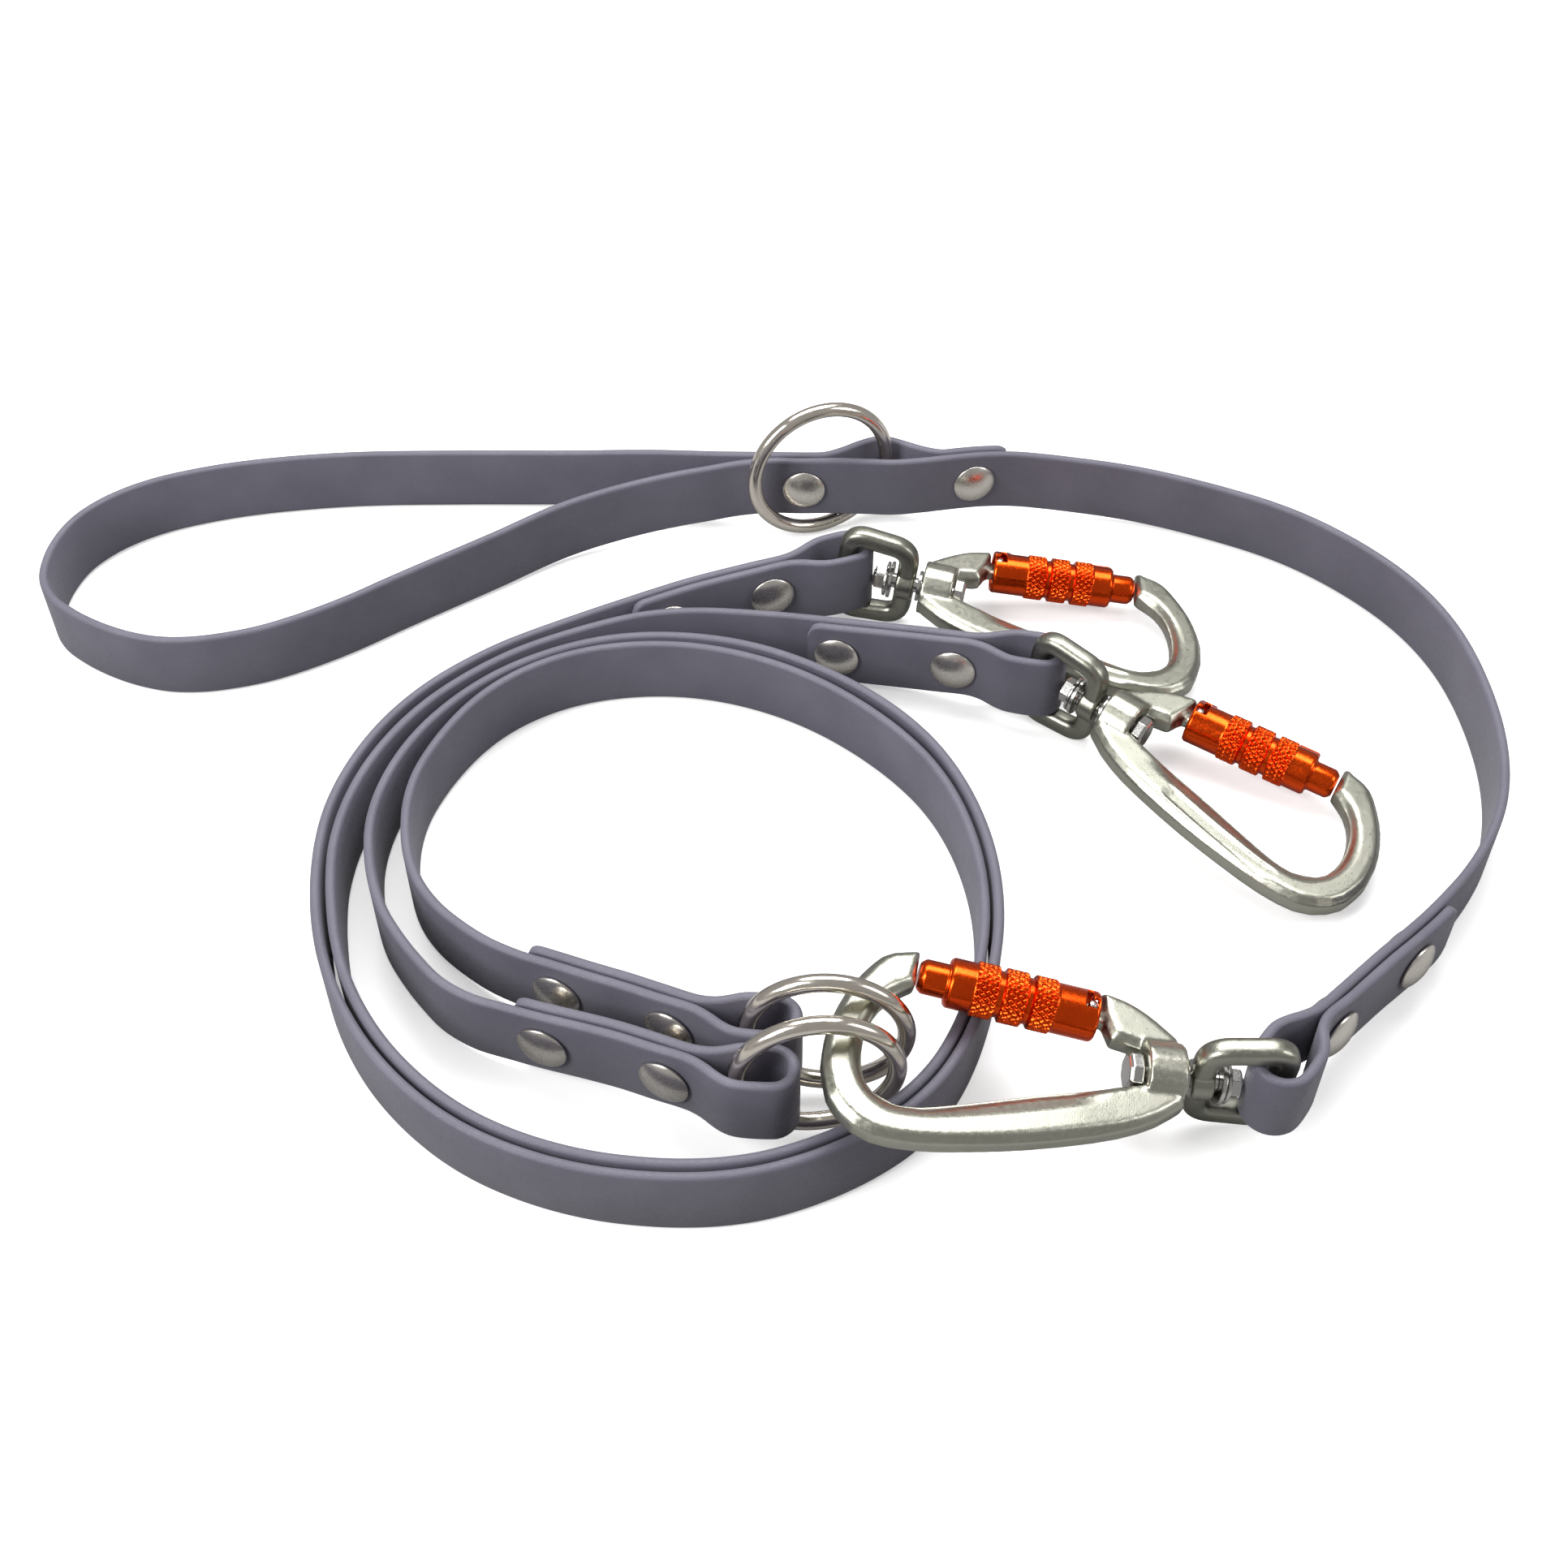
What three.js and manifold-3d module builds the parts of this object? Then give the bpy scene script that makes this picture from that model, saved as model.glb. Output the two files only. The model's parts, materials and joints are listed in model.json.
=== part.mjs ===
// Training leash: a hand-loop lead clipped to a two-strap coupler, laid down in a coil.
// Millimetres, +Z up. The origin is on the ground under the middle of the whole laid-out leash.
// All straps stand on edge.
import * as THREE from "three";
import { mergeVertices } from "three/addons/utils/BufferGeometryUtils.js";
import Module from "manifold-3d";

const wasm = await Module();
wasm.setup();

// ---- driving dimensions -------------------------------------------------------------------------
const GAP = 0.3; // clearance between pieces that only touch
const STATION_GAP = 9; // length of one flat facet along a strap
const STRAP_WIDTH = 19;
const STRAP_THICK = 2.5;
const HALF_SEAM = (STRAP_THICK + GAP) / 2; // from a riveted seam to the middle of either layer
const RIVET_CAP = 12; // cap diameter
const RIVET_CAP_HEIGHT = 2;
const RIVET_POST = 4;
const RING_WIRE = 4;
const COUPLER_RING = 34.4; // diameter of the wire's middle line
const HANDLE_RING = 39.6;
const BODY_THICK = 6.6; // carabiner body, across its flat sides
const BODY_CHAMFER = 1.6;
const BOLT = 4;
const BOW_BAR = 4.8;
const BOW_FAR = -20.2; // middle of the bow's strap bar, along the swivel axis
const BOW_NEAR = -3.6; // middle of the bow's bolted bar
const BOW_FAR_HALF = 12.8; // swivel axis to the middle of the long bars, at the strap bar
const BOW_NEAR_HALF = 11.3; // the same, at the bolted bar
const GATE_ROOT = [18, 12.5]; // where the gate's own axis starts, in the carabiner's plane
const GATE_TILT = 0.14; // radians between the gate and the swivel axis
const GATE_DIAMETER = 8.4;
const GATE_LENGTH = 40;
const SLEEVE_BORE = 9.4;
const SLEEVE_SMOOTH = 11;
const SLEEVE_KNURL = 12;
const SLEEVE_LENGTH = 33.5;
const HINGE = [2.2, 0.3]; // hinge pin: along the gate axis, and off it towards the outside
const HINGE_PIN = 2;
const TONGUE_END = 2.5; // radius of the body's tongue around the hinge pin
const COIL_CENTRE = [-2, -6]; // in the frame that the leash is laid out in
const LAYOUT_MIDDLE = [18.74, 32.3]; // middle of the leash's box in that frame

// ---- looks --------------------------------------------------------------------------------------
function finish(color, roughness, metalness) {
  return new THREE.MeshStandardMaterial({ color, roughness, metalness });
}

const STRAP = finish(0x625f6c, 0.6, 0);
const NICKEL = finish(0xc9c4bb, 0.15, 1);
const BODY = finish(0x9a9c90, 0.38, 0.9);
const ORANGE = finish(0xe04e14, 0.28, 0.85);
const STEEL = finish(0xb9b9b6, 0.25, 1);

// ---- solids -------------------------------------------------------------------------------------
function solid(geometry) {
  const bare = geometry.clone();
  bare.deleteAttribute("normal");
  bare.deleteAttribute("uv");
  const merged = mergeVertices(bare, 1e-4);
  const vertProperties = new Float32Array(merged.attributes.position.array);
  const triVerts = new Uint32Array(merged.index.array);
  return new wasm.Manifold(new wasm.Mesh({ numProp: 3, vertProperties, triVerts }));
}

function surface(manifold) {
  const mesh = manifold.getMesh();
  const geometry = new THREE.BufferGeometry();
  geometry.setAttribute("position", new THREE.BufferAttribute(new Float32Array(mesh.vertProperties), 3));
  geometry.setIndex(new THREE.BufferAttribute(new Uint32Array(mesh.triVerts), 1));
  geometry.computeVertexNormals();
  return geometry;
}

const join = (...pieces) => surface(pieces.map(solid).reduce((a, b) => a.add(b)));
const cut = (piece, ...tools) => surface(tools.map(solid).reduce((a, b) => a.subtract(b), solid(piece)));

// A round bar whose axis runs along the swivel axis (x) from one place to another.
function barAlongX(diameter, from, to, sides = 12) {
  const bar = new THREE.CylinderGeometry(diameter / 2, diameter / 2, to - from, sides);
  return bar.rotateZ(-Math.PI / 2).translate((from + to) / 2, 0, 0);
}

function box(x0, x1, y0, y1, z0, z1) {
  const block = new THREE.BoxGeometry(x1 - x0, y1 - y0, z1 - z0);
  return block.translate((x0 + x1) / 2, (y0 + y1) / 2, (z0 + z1) / 2);
}

// A profile of [radius, place] pairs turned about the x axis.
function turned(profile, sides) {
  const points = profile.map(([radius, place]) => new THREE.Vector2(radius, place));
  return new THREE.LatheGeometry(points, sides).rotateZ(-Math.PI / 2);
}

// ---- straps -------------------------------------------------------------------------------------
const onCoil = (degrees, radius, lift = 0) => {
  const angle = THREE.MathUtils.degToRad(degrees);
  return [COIL_CENTRE[0] + radius * Math.cos(angle), COIL_CENTRE[1] + radius * Math.sin(angle), lift];
};

// The middle line of a strap's main layer as [x, y, lift off the ground].
const STRAP_A = [
  [26.8, -70, 9], [18, -68.6, 8.2], [8, -64.4, 7], [-8, -56.8, 4.8], [-26, -50, 2.8],
  ...[
    [221, 55, 1.2], [204, 58, 0.3], [187, 62.8], [165, 69.4], [143, 74.8], [121, 79.2],
    [99, 81.6], [76, 81.2], [52, 80], [30, 80.3], [5, 80.6], [-20, 83.4],
    [-45, 87.9], [-70, 86.2], [-93, 82.4], [-115, 79.8], [-135, 77.6], [-155, 76.4],
    [-175, 77], [-195, 80.4], [-212, 83.6], [-226, 86], [-240, 88], [-252, 90.4],
  ].map((p) => onCoil(...p)),
  [-14, 88, 0.4], [4, 95.6, 1.5], [15, 98.8, 2.5], [26, 101.6, 3.6], [37, 104.4, 4.6], [47.2, 107.3, 5.2],
];
const STRAP_B = [
  [27.4, -57, 9.4], [18, -55.6, 8.8], [8, -51.4, 7.6], [-4, -45, 5.4], [-18, -38.6, 3.8],
  ...[
    [213, 41.8, 1.6], [187, 52], [170, 58.8], [151, 66.2], [126, 74.6], [107, 78],
    [85, 77.8], [60, 76], [30, 76.2], [5, 77.2], [-20, 80.2], [-45, 84.9],
    [-70, 83], [-93, 79], [-115, 76.4], [-135, 74.2], [-155, 73], [-175, 73.4],
    [-190, 75.8], [-206, 78.4], [-223, 81.2], [-241, 84], [-257, 87],
  ].map((p) => onCoil(...p)),
  [-6, 84, 0], [8, 85.2, 0], [22, 84, 0.2], [34, 82.2, 0.5], [46, 79.4, 1.3], [58, 76.4, 2.3],
  [70, 73.2, 3.4], [81, 70, 4.5], [89, 67.6, 4.9], [96.4, 65.6, 5.2],
];
const STRAP_HANDLE = [
  [133.5, -65, 7.6], [141.2, -54.6, 6.6], [150, -46, 5], [163, -33, 2.6], [177, -19.8, 0.8], [192, -3, 0],
  [202, 14, 0], [207.4, 33, 0], [208.8, 56, 0], [206, 79, 0], [199, 97, 0], [187, 113.5, 0], [172, 127, 0],
  [153, 137.6, 0], [131, 145.6, 0.6], [108, 148.8, 2.2], [96, 149, 3.4], [84, 147, 4.6], [72, 143.6, 5.6],
  [60, 141.4, 6.2], [48, 141.4, 6.8], [35.3, 141.8, 6.4], [22, 142, 6.2], [8, 140.6, 4.6], [-9, 137.6, 2.8],
  [-31, 129.6, 1], [-52, 115.4, 0.2], [-73, 100.6, 0], [-92, 86.8, 0], [-112, 76.8, 0], [-133, 73.8, 0],
  [-153, 80.8, 0], [-168, 93.6, 0], [-171.4, 108, 0], [-167.4, 125, 0], [-155, 138, 0], [-134, 147, 0],
  [-103, 152.6, 0], [-70, 154, 0], [-33, 153, 0.8], [-9, 150.4, 3], [10, 147, 5],
];

// Evenly spaced stations along a strap's line, each with its place, heading and left-hand side.
class StrapLine {
  constructor(controls) {
    const points = controls.map((p) => new THREE.Vector3(...p));
    this.curve = new THREE.CatmullRomCurve3(points, false, "centripetal");
    this.curve.arcLengthDivisions = 1200;
    this.length = this.curve.getLength();
  }

  at(distance) {
    const u = THREE.MathUtils.clamp(distance / this.length, 0, 1);
    const place = this.curve.getPointAt(u);
    place.z = Math.max(place.z, 0);
    const heading = this.curve.getTangentAt(u).setZ(0).normalize();
    return { place, heading, left: new THREE.Vector3(-heading.y, heading.x, 0) };
  }

  // Distance along the line whose place is closest to x on the given stretch.
  whereX(x, from, to) {
    let best = from;
    for (let s = from; s <= to; s += 0.25) {
      if (Math.abs(this.at(s).place.x - x) < Math.abs(this.at(best).place.x - x)) best = s;
    }
    return best;
  }
}

const LOOP_RUN = 18; // a folded end opens from its flat seam over this length
const LOOP_FLAT = 6; // and stays fully open over this length
const FOLD_STEPS = [0, LOOP_FLAT, 8, 10, 12, 14, LOOP_RUN];

const halfOpening = (distance, loop) =>
  THREE.MathUtils.lerp(loop, HALF_SEAM, THREE.MathUtils.smoothstep(distance, LOOP_FLAT, LOOP_RUN));

// Middle points of a folded end, from the main layer round the loop to the end of the tail.
function foldedTail(line, fold) {
  const along = (s) => (fold.atEnd ? line.length - s : s);
  const side = fold.atEnd ? -1 : 1;
  const start = line.at(along(0));
  const seam = start.place.clone().addScaledVector(start.left, -HALF_SEAM);
  const points = [];
  for (let step = 1; step < 7; step += 1) {
    const turn = (Math.PI * step) / 7;
    const point = seam.clone().addScaledVector(start.left, fold.loop * Math.cos(turn));
    points.push(point.addScaledVector(start.heading, -side * fold.loop * Math.sin(turn)));
  }
  const stops = [...FOLD_STEPS];
  for (let s = LOOP_RUN + STATION_GAP; s < fold.tail - 2; s += STATION_GAP) stops.push(s);
  stops.push(fold.tail);
  for (const s of stops) {
    const { place, left } = line.at(along(s));
    points.push(place.addScaledVector(left, -HALF_SEAM - halfOpening(s, fold.loop)));
  }
  return points;
}

function mainLayer(line, startFold, endFold) {
  const stops = [];
  const count = Math.ceil((line.length - 2 * LOOP_RUN) / STATION_GAP);
  for (const s of FOLD_STEPS) stops.push(s);
  for (let i = 1; i < count; i += 1) stops.push(LOOP_RUN + ((line.length - 2 * LOOP_RUN) * i) / count);
  for (const s of [...FOLD_STEPS].reverse()) stops.push(line.length - s);
  return stops.map((s) => {
    const { place, left } = line.at(s);
    const opening =
      (startFold ? halfOpening(s, startFold.loop) : HALF_SEAM) +
      (endFold ? halfOpening(line.length - s, endFold.loop) : HALF_SEAM);
    return place.addScaledVector(left, opening - 2 * HALF_SEAM);
  });
}

// A strip of webbing standing on edge along a line of middle points.
function ribbon(points) {
  const corners = [];
  const index = [];
  points.forEach((point, i) => {
    const before = points[Math.max(i - 1, 0)];
    const after = points[Math.min(i + 1, points.length - 1)];
    const heading = after.clone().sub(before).setZ(0).normalize();
    const x = -heading.y * (STRAP_THICK / 2);
    const y = heading.x * (STRAP_THICK / 2);
    const top = point.z + STRAP_WIDTH;
    corners.push(point.x - x, point.y - y, point.z, point.x + x, point.y + y, point.z);
    corners.push(point.x + x, point.y + y, top, point.x - x, point.y - y, top);
  });
  for (let i = 0; i + 1 < points.length; i += 1) {
    for (let k = 0; k < 4; k += 1) {
      const a = 4 * i + k;
      const b = 4 * i + ((k + 1) % 4);
      index.push(a, b, b + 4, a, b + 4, a + 4);
    }
  }
  const last = 4 * (points.length - 1);
  index.push(0, 2, 1, 0, 3, 2, last, last + 1, last + 2, last, last + 2, last + 3);
  const geometry = new THREE.BufferGeometry();
  geometry.setAttribute("position", new THREE.Float32BufferAttribute(corners, 3));
  geometry.setIndex(index);
  return geometry;
}

// ---- rivets -------------------------------------------------------------------------------------
const RIVET_SIDES = 10;
const RIVET_GRIP = 2 * STRAP_THICK + GAP; // two layers and the seam
const CAP_SEAT = RIVET_GRIP / 2 + 0.5; // from the seam to the underside of either cap

const domedCap = (seat) => [
  [RIVET_CAP / 2, seat],
  [RIVET_CAP / 2, seat + 0.5],
  [RIVET_CAP * 0.3, seat + RIVET_CAP_HEIGHT],
  [0, seat + RIVET_CAP_HEIGHT],
];

function latheY(profile, sides = RIVET_SIDES) {
  return new THREE.LatheGeometry(profile.map(([radius, y]) => new THREE.Vector2(radius, y)), sides);
}

const POST = RIVET_POST / 2;
const POST_HOLE = POST + GAP;
const postCap = latheY([
  [0, -CAP_SEAT - 0.9], [POST, -CAP_SEAT - 0.9], [POST, CAP_SEAT], ...domedCap(CAP_SEAT),
]);
const socketCap = latheY([
  [0, CAP_SEAT + 1.3], [POST_HOLE, CAP_SEAT + 1.3], [POST_HOLE, CAP_SEAT], ...domedCap(CAP_SEAT),
]);
const rivetHole = new THREE.CylinderGeometry(POST_HOLE, POST_HOLE, RIVET_GRIP + 2, RIVET_SIDES);

// The front of every rivet faces the tail side of its seam.
function rivetPose({ place, left }) {
  const holder = new THREE.Group();
  holder.position.copy(place).addScaledVector(left, -HALF_SEAM);
  holder.position.z += STRAP_WIDTH / 2;
  holder.quaternion.setFromUnitVectors(new THREE.Vector3(0, 1, 0), left);
  holder.updateMatrix();
  return holder;
}

const leash = new THREE.Group();

function addMesh(parent, name, geometry, material) {
  const mesh = new THREE.Mesh(geometry, material);
  mesh.name = name;
  parent.add(mesh);
  return mesh;
}

function addStrap(name, points, rivets) {
  const holders = rivets.map(({ station }) => rivetPose(station));
  const holes = holders.map((holder) => rivetHole.clone().applyMatrix4(holder.matrix));
  addMesh(leash, name, cut(ribbon(points), ...holes), STRAP);
  rivets.forEach(({ label }, i) => {
    const holder = holders[i];
    leash.add(holder);
    addMesh(holder, `${label}_post_cap`, postCap, NICKEL);
    addMesh(holder, `${label}_socket_cap`, socketCap, NICKEL).rotation.x = Math.PI;
  });
}

// Both ends of a coupler strap fold back on themselves.
function couplerStrap(name, controls, tails, rivetPlaces) {
  const line = new StrapLine(controls);
  const ringFold = { loop: 4.9, tail: tails[0], atEnd: false };
  const bowFold = { loop: 5.2, tail: tails[1], atEnd: true };
  const points = [
    ...foldedTail(line, ringFold).reverse(),
    ...mainLayer(line, ringFold, bowFold),
    ...foldedTail(line, bowFold),
  ];
  const rivets = rivetPlaces.map(([label, distance]) => ({
    label: `${name}_${label}`,
    station: line.at(distance < 0 ? line.length + distance : distance),
  }));
  addStrap(name, points, rivets);
}

// The hand loop's end lies behind the main layer between two rivets, with a pocket for the ring.
const JOINT_RIGHT = 83.9; // x of the two rivets
const JOINT_LEFT = 35.3;
const TAIL_END = 94.5;
const POCKET = { x: 58.5, reach: 19, depth: 8.4 };

function pocketDepth(x) {
  const t = Math.min(1, Math.abs(x - POCKET.x) / POCKET.reach);
  return POCKET.depth * Math.cos((t * Math.PI) / 2) ** 2;
}

function jointTail(line, from, to) {
  const points = [];
  const count = 14;
  for (let i = 0; i <= count; i += 1) {
    const { place, left } = line.at(THREE.MathUtils.lerp(from, to, i / count));
    points.push(place.clone().addScaledVector(left, -2 * HALF_SEAM - pocketDepth(place.x)));
  }
  return points;
}

function handleStrap() {
  const line = new StrapLine(STRAP_HANDLE);
  const bowFold = { loop: 5.8, tail: 70, atEnd: false };
  const whereX = (x) => line.whereX(x, 260, 460);
  const points = [
    ...foldedTail(line, bowFold).reverse(),
    ...mainLayer(line, bowFold, null),
    ...jointTail(line, whereX(JOINT_LEFT - 9), whereX(TAIL_END)),
  ];
  const rivets = [
    ["clip_end_outer", 23],
    ["clip_end_inner", 55],
    ["joint_right", whereX(JOINT_RIGHT)],
    ["joint_left", whereX(JOINT_LEFT)],
  ].map(([label, distance]) => ({ label: `handle_strap_${label}`, station: line.at(distance) }));
  addStrap("handle_strap", points, rivets);
}

couplerStrap("coupler_strap_a", STRAP_A, [62, 62], [
  ["ring_end_outer", 23.5], ["ring_end_inner", 53.5], ["clip_end_outer", -22.5], ["clip_end_inner", -52],
]);
couplerStrap("coupler_strap_b", STRAP_B, [62, 62], [
  ["ring_end_outer", 23.5], ["ring_end_inner", 52.5], ["clip_end_outer", -22.5], ["clip_end_inner", -54],
]);
handleStrap();

// ---- rings --------------------------------------------------------------------------------------
function addRing(name, diameter, centre, turn) {
  const ring = addMesh(leash, name, new THREE.TorusGeometry(diameter / 2, RING_WIRE / 2, 8, 32), NICKEL);
  ring.rotation.set(Math.PI / 2, 0, turn, "ZYX");
  ring.position.set(...centre);
}

addRing("handle_ring", HANDLE_RING, [40, 141.6, 22.1], THREE.MathUtils.degToRad(20));
addRing("coupler_ring_a", COUPLER_RING, [36.6, -66.3, 21.6], THREE.MathUtils.degToRad(5));
addRing("coupler_ring_b", COUPLER_RING, [38.8, -55.7, 22], THREE.MathUtils.degToRad(-2));

// ---- carabiner ----------------------------------------------------------------------------------
// Its own frame: x along the swivel axis from the boss face to the hook, y towards the gate, z across.
const gateAxis = new THREE.Vector2(Math.cos(GATE_TILT), Math.sin(GATE_TILT));
const fromGate = (along, off) => [
  GATE_ROOT[0] + along * gateAxis.x - off * gateAxis.y,
  GATE_ROOT[1] + along * gateAxis.y + off * gateAxis.x,
];

function curveThrough(shape, points) {
  shape.splineThru(points.map((p) => new THREE.Vector2(...p)));
}

function carabinerOutline() {
  const shape = new THREE.Shape();
  shape.moveTo(1, -8);
  const back = [[8, -12.8], [18, -16.8], [33, -20.5], [47, -22.8], [60, -23.9], [70, -22.4]];
  curveThrough(shape, [...back, [76.6, -16], [78.4, -7]]);
  curveThrough(shape, [[77.4, 1], [74, 9.8], [69.2, 17], [64.4, 21.6], fromGate(GATE_LENGTH + 0.4, 5)]);
  shape.lineTo(...fromGate(GATE_LENGTH + 0.4, -4));
  curveThrough(shape, [[64.8, 9.6], [68.6, 3.2], [70.2, -5], [68.6, -12], [62.6, -15.4]]);
  curveThrough(shape, [[57, -15.2], [45, -12.4], [33, -9.4], [22, -7], [13, -4.6], [9.4, -4.4]]);
  shape.lineTo(9.4, 4.6);
  shape.lineTo(...fromGate(-2.9, -6));
  shape.lineTo(...fromGate(0, 0.3));
  shape.lineTo(...fromGate(0.2, 5.2));
  curveThrough(shape, [[12.2, 16.6], [6.5, 13.2], [1, 8]]);
  shape.closePath();
  return shape;
}

// An outline made into a plate whose two rims are cut back at 45 degrees.
function chamferedPlate(shape, thick, chamfer) {
  const outer = shape.getPoints(2).filter((p, i, all) => p.distanceTo(all[(i + 1) % all.length]) > 0.2);
  if (THREE.ShapeUtils.isClockWise(outer)) outer.reverse();
  const count = outer.length;
  const inner = outer.map((p, i) => {
    const before = p.clone().sub(outer[(i + count - 1) % count]);
    const after = outer[(i + 1) % count].clone().sub(p);
    const room = 0.6 * Math.min(before.length(), after.length());
    before.normalize();
    after.normalize();
    const inward = new THREE.Vector2(-before.y - after.y, before.x + after.x).normalize();
    const reach = chamfer / Math.max(0.5, inward.dot(new THREE.Vector2(-after.y, after.x)));
    return p.clone().addScaledVector(inward, Math.min(reach, room));
  });
  const half = thick / 2;
  const levels = [[inner, -half], [outer, chamfer - half], [outer, half - chamfer], [inner, half]];
  const corners = levels.flatMap(([ring, z]) => ring.flatMap((p) => [p.x, p.y, z]));
  const index = [];
  for (const [a, b, c] of THREE.ShapeUtils.triangulateShape(inner, [])) {
    index.push(a, c, b, a + 3 * count, b + 3 * count, c + 3 * count);
  }
  for (let level = 0; level < 3; level += 1) {
    for (let i = 0; i < count; i += 1) {
      const a = level * count + i;
      const b = level * count + ((i + 1) % count);
      index.push(a, b, b + count, a, b + count, a + count);
    }
  }
  const geometry = new THREE.BufferGeometry();
  geometry.setAttribute("position", new THREE.Float32BufferAttribute(corners, 3));
  geometry.setIndex(index);
  return geometry;
}

const hingeHole = () => {
  const radius = HINGE_PIN / 2 + GAP;
  return new THREE.CylinderGeometry(radius, radius, 12, 10).rotateX(Math.PI / 2);
};

function carabinerBody() {
  const plate = chamferedPlate(carabinerOutline(), BODY_THICK, BODY_CHAMFER);
  const pin = fromGate(...HINGE);
  const tongueOutline = new THREE.Shape();
  tongueOutline.moveTo(...fromGate(-5, HINGE[1] + TONGUE_END));
  tongueOutline.absarc(...pin, TONGUE_END, Math.PI / 2 + GATE_TILT, GATE_TILT - Math.PI / 2, true);
  tongueOutline.lineTo(...fromGate(-5, HINGE[1] - TONGUE_END));
  const flat = { depth: 3, bevelEnabled: false, curveSegments: 6 };
  const tongue = new THREE.ExtrudeGeometry(tongueOutline, flat).translate(0, 0, -1.5);
  const boss = barAlongX(14.5, 1, 9.4, 16);
  const pinHole = hingeHole().translate(...pin, 0);
  const boltHole = barAlongX(BOLT + 2 * GAP + 0.2, -2, 12);
  const headRoom = barAlongX(9.8, 9.3, 13.6, 16);
  return cut(join(plate, tongue, boss), pinHole, boltHole, headRoom);
}

// A piece modelled along the x axis, moved onto the gate's axis.
function ontoGate(geometry) {
  return geometry.rotateZ(GATE_TILT).translate(...GATE_ROOT, 0);
}

function gate() {
  const radius = GATE_DIAMETER / 2;
  const tip = radius - 0.4;
  const step = [[radius, 33.9], [tip, 34.3]];
  const end = [[tip, 38.6], [tip - 1.2, GATE_LENGTH], [0, GATE_LENGTH]];
  const bar = turned([[0, 0.6], [radius, 0.6], ...step, ...end], 12);
  const fork = box(-1, 7, -6, 6, -1.8, 1.8);
  const springBore = barAlongX(3.8, 6, 22, 8);
  const pinHole = hingeHole().translate(...HINGE, 0);
  return ontoGate(cut(bar, fork, springBore, pinHole));
}

function gatePin() {
  const pin = new THREE.CylinderGeometry(HINGE_PIN / 2, HINGE_PIN / 2, 5.8, 10);
  return ontoGate(pin.rotateX(Math.PI / 2).translate(...HINGE, 0));
}

class Helix extends THREE.Curve {
  constructor(from, to, diameter, turns) {
    super();
    Object.assign(this, { from, to, diameter, turns });
  }

  getPoint(t) {
    const angle = 2 * Math.PI * this.turns * t;
    const radius = this.diameter / 2;
    const along = THREE.MathUtils.lerp(this.from, this.to, t);
    return new THREE.Vector3(along, radius * Math.cos(angle), radius * Math.sin(angle));
  }
}

function gateSpring() {
  const corners = [[-0.25, -0.25], [0.25, -0.25], [0.25, 0.25], [-0.25, 0.25]];
  const wire = new THREE.Shape(corners.map((p) => new THREE.Vector2(...p)));
  const helix = new Helix(5.3, 21.6, 2.4, 5);
  return ontoGate(new THREE.ExtrudeGeometry(wire, { steps: 30, extrudePath: helix, bevelEnabled: false }));
}

function sleeve() {
  const smooth = SLEEVE_SMOOTH / 2;
  const knurl = SLEEVE_KNURL / 2;
  const bore = SLEEVE_BORE / 2;
  const bands = [[10, 15], [16.2, 21.2], [22.4, 27.4]].flatMap(([from, to]) => [
    [smooth, from], [knurl, from + 0.4], [knurl, to - 0.4], [smooth, to],
  ]);
  const start = [[bore, 0.6], [smooth - 0.4, 0.6], [smooth, 1]];
  const nose = [[smooth, SLEEVE_LENGTH - 1.4], [smooth - 0.9, SLEEVE_LENGTH]];
  const end = [...nose, [bore, SLEEVE_LENGTH], [bore, 0.6]];
  const tube = turned([...start, ...bands, ...end], 12);
  const window = (from, to, degrees) => {
    return box(from, to, -1.5, 1.5, 3, 8).rotateX(THREE.MathUtils.degToRad(degrees));
  };
  const pinWindows = [window(0, 4, 0), window(0, 4, 180)];
  const noseSlot = window(22, SLEEVE_LENGTH + 1, -50);
  return ontoGate(cut(tube, ...pinWindows, noseSlot));
}

// A closed outline, taller at x0 than at x1, with its four corners rounded off.
function flaredLoop(target, x0, half0, x1, half1, round) {
  const corners = [[x1, half1], [x0, half0], [x0, -half0], [x1, -half1]].map((p) => new THREE.Vector2(...p));
  const toward = (a, b) => a.clone().add(b.clone().sub(a).setLength(round));
  corners.forEach((corner, i) => {
    const start = toward(corner, corners[(i + 3) % 4]);
    const end = toward(corner, corners[(i + 1) % 4]);
    if (i === 0) target.moveTo(start.x, start.y);
    else target.lineTo(start.x, start.y);
    target.quadraticCurveTo(corner.x, corner.y, end.x, end.y);
  });
  target.closePath();
  return target;
}

// The bow stands across the carabiner's plane: a flared loop of bar, taller where the strap passes.
function bow() {
  const half = BOW_BAR / 2;
  const rim = (target, grow, round) => {
    const far = [BOW_FAR - grow, BOW_FAR_HALF + grow];
    return flaredLoop(target, ...far, BOW_NEAR + grow, BOW_NEAR_HALF + grow, round);
  };
  const outline = rim(new THREE.Shape(), half, 5);
  outline.holes.push(rim(new THREE.Path(), -half, 2));
  const loop = new THREE.ExtrudeGeometry(outline, { depth: BOW_BAR, bevelEnabled: false, curveSegments: 4 });
  loop.translate(0, 0, -half).rotateX(Math.PI / 2);
  const seat = barAlongX(8.5, BOW_NEAR - half, BOW_NEAR + half, 12);
  return cut(join(loop, seat), barAlongX(BOLT + 1.8, -9, 2));
}

function bolt() {
  const head = turned([[0, 9.8], [4.1, 9.8], [4.4, 10.2], [4.4, 12.2], [3.9, 12.8], [0, 12.8]], 8);
  return join(head, barAlongX(BOLT, -12.6, 10.4));
}

function ringAlongX(outer, inner, from, to) {
  const [near, far] = [inner / 2, outer / 2];
  return turned([[near, from], [far, from], [far, to], [near, to], [near, from]], 12);
}

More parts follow.
